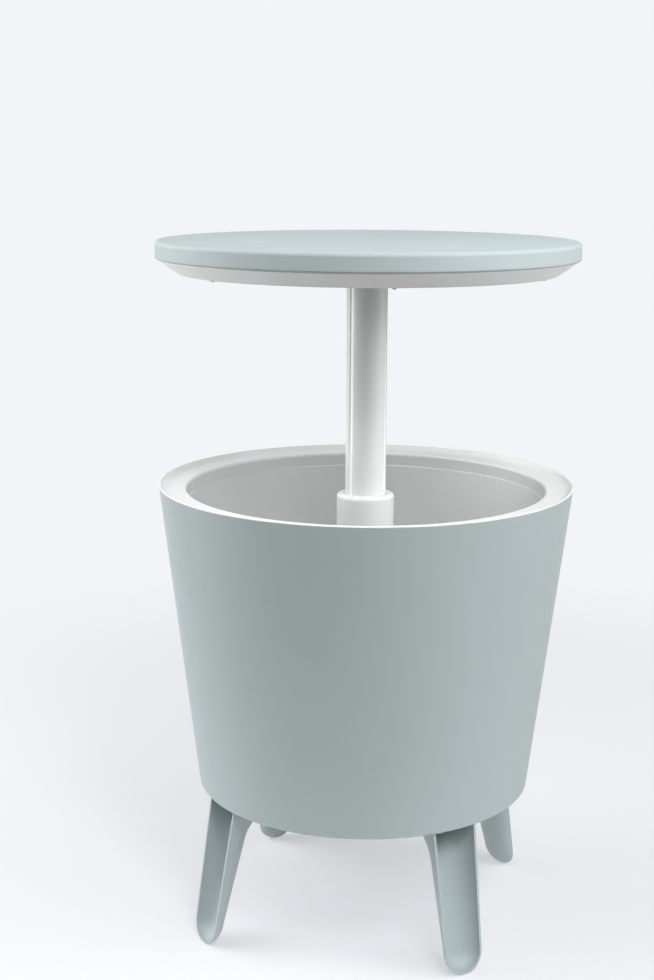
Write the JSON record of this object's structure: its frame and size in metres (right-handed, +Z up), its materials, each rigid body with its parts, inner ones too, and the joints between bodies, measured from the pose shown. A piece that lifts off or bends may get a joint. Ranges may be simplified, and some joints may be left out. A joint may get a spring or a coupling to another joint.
{
  "type": "ice bucket coffee table",
  "caption": "Round patio side table on splayed legs whose top lifts on a centre column to open an ice tub, and slides down as its lid.",
  "frame": {"origin": "on the floor, under the middle of the tub and its column", "axes": "+Z up along the column; legs stand at 45, 135, 225 and 315 degrees about +Z, and -Y is the front"},
  "size_m": [0.4949, 0.495, 0.828],
  "materials": {
    "shell_plastic": "matt, fine moulded grain, grey-green",
    "pale_plastic": "satin, pale grey-white",
    "liner_plastic": "satin, pale warm grey",
    "column_plastic": "satin, pale grey",
    "inner_plastic": "satin, mid grey",
    "drain_plastic": "satin, grey",
    "soft_rubber": "matt soft rubber",
    "screw_steel": "bright zinc plate"
  },
  "bodies": {
    "tub": {"outer_shell": "shell_plastic", "inner_liner": "liner_plastic", "liner_chimney": "liner_plastic", "collar_cap": "pale_plastic", "guide_base": "inner_plastic", "base_screws": "screw_steel", "guide_tube": "inner_plastic", "leg_screws": "screw_steel", "drain_spout": "drain_plastic", "drain_gasket": "soft_rubber", "drain_nut": "drain_plastic", "leg_rear_right": "shell_plastic", "leg_rear_left": "shell_plastic", "leg_front_left": "shell_plastic", "leg_front_right": "shell_plastic"},
    "turning_ring": {"index_ring": "inner_plastic"},
    "lift_top": {"column": "column_plastic", "column_slider": "inner_plastic", "slider_screws": "screw_steel", "column_hub": "inner_plastic", "hub_screws": "screw_steel", "hub_clamp_screws": "screw_steel", "top_panel": "shell_plastic", "top_underside": "pale_plastic", "top_screws": "screw_steel", "lid_bumpers": "soft_rubber"},
    "drain_stopper": {"drain_plug": "drain_plastic", "plug_seal": "soft_rubber"}
  },
  "joints": [
    {"name": "top_twist", "type": "hinge", "parent": "tub", "child": "turning_ring", "pos_m": [0, 0, 0.516], "axis": [0, 0, 1], "range_deg": [0, 30]},
    {"name": "top_lift", "type": "slide", "parent": "turning_ring", "child": "lift_top", "axis": [0, 0, 1], "range_m": [-0.2518, 0]},
    {"name": "drain_plug_pull", "type": "slide", "parent": "tub", "child": "drain_stopper", "axis": [0, 0, 1], "range_m": [-0.024, 0]}
  ]
}
